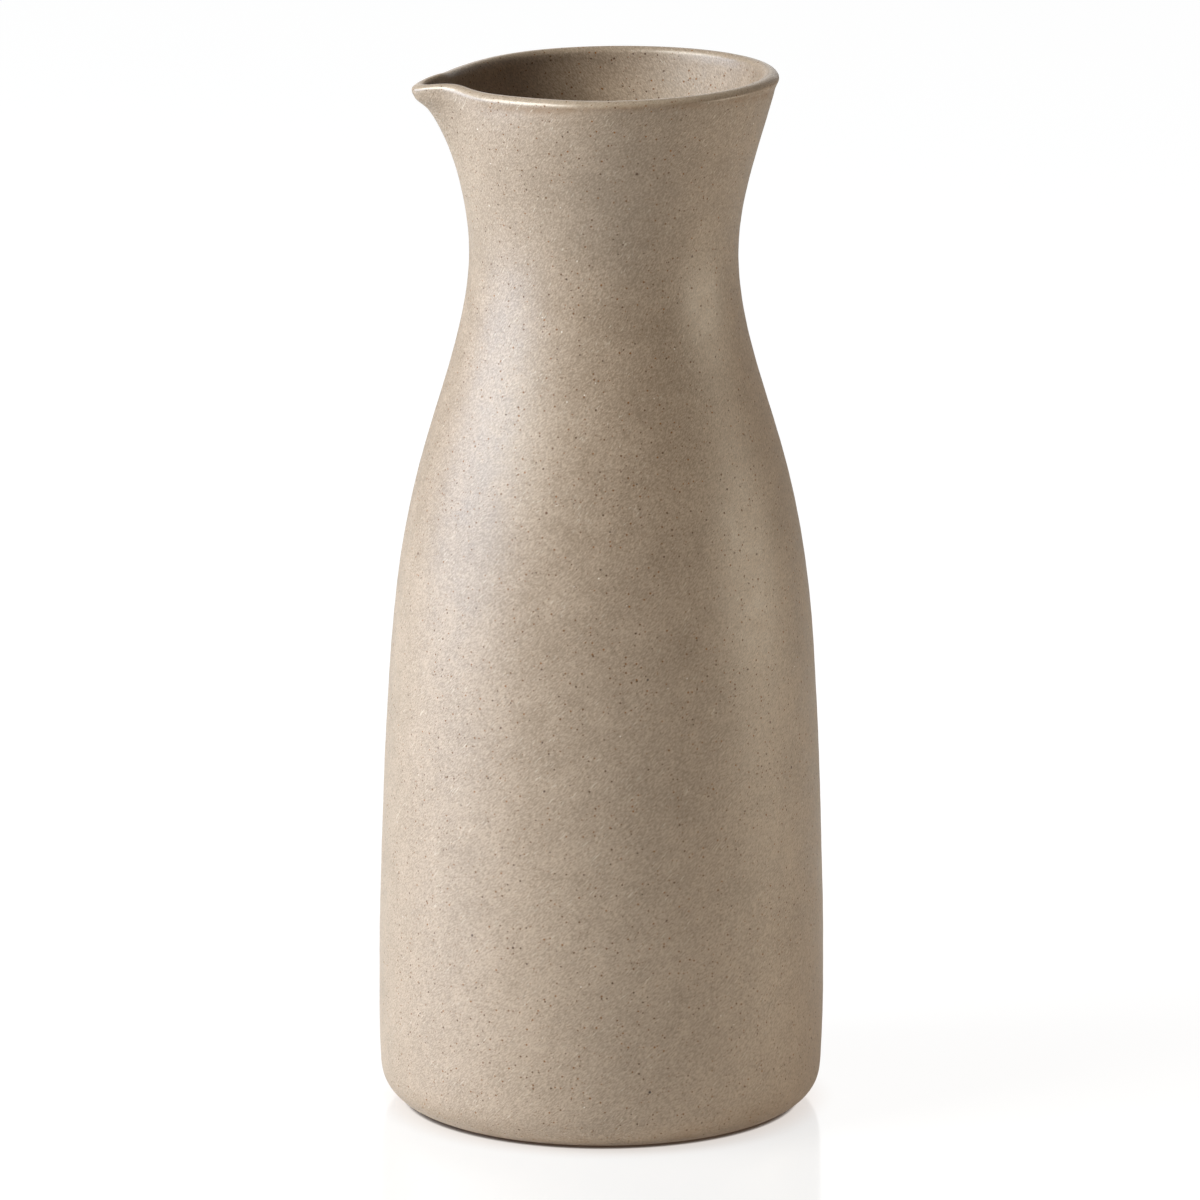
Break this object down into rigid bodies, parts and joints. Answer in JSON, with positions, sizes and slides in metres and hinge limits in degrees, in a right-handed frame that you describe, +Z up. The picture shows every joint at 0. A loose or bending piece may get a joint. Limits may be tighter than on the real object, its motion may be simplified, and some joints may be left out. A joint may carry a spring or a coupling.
{
  "type": "water carafe",
  "caption": "Tall one-piece stoneware water carafe with a rounded heel, drawn-in neck, flared mouth and a small spout pulled from the rim, for pouring drinks at the table.",
  "frame": {"origin": "on the table, under the middle of the foot ring", "axes": "+Z up along the turning axis, spout towards -X, symmetric about the XZ plane"},
  "size_m": [0.105, 0.1048, 0.2459],
  "materials": {
    "glaze": "satin speckled glaze in warm grey-brown"
  },
  "bodies": {
    "root": {"carafe_body": "glaze"}
  },
  "joints": []
}
